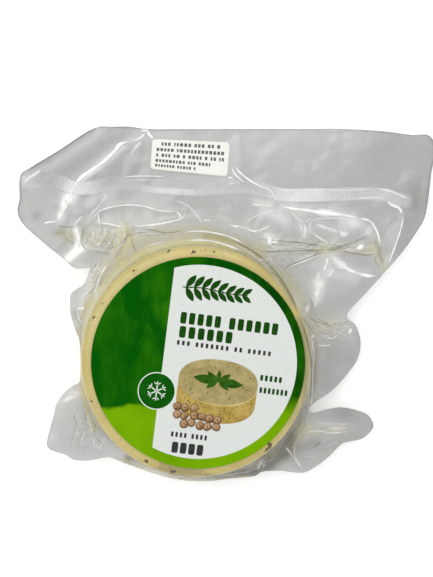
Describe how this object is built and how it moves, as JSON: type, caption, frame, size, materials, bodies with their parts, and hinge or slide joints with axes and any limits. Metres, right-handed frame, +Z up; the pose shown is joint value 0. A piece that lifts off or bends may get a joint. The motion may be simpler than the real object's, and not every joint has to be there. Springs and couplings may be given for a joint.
{
  "type": "vegan herb cheese",
  "caption": "Round cream-yellow herb cheese sealed in a clear vacuum bag with wide film lobes, a round paper label on top and a small date sticker on the bag's lip.",
  "frame": {"origin": "on the floor, at the centre of the bag's flat underside, on the cheese's axis", "axes": "+Z up out of the label, +Y towards the bag's sealed lip, +X along the bag's width"},
  "size_m": [0.1805, 0.1565, 0.0328],
  "materials": {
    "cheese": "smooth moist fresh cheese, cream yellow with fine dark herb flecks",
    "film": "clear glossy vacuum film, creased, reading light grey where two layers lie together",
    "label_paper": "semi-gloss printed paper in dark green, lime and white",
    "sticker_paper": "matt white thermal paper"
  },
  "bodies": {
    "root": {"cheese": "cheese", "bag": "film", "label": "label_paper", "date_sticker": "sticker_paper"}
  },
  "joints": []
}
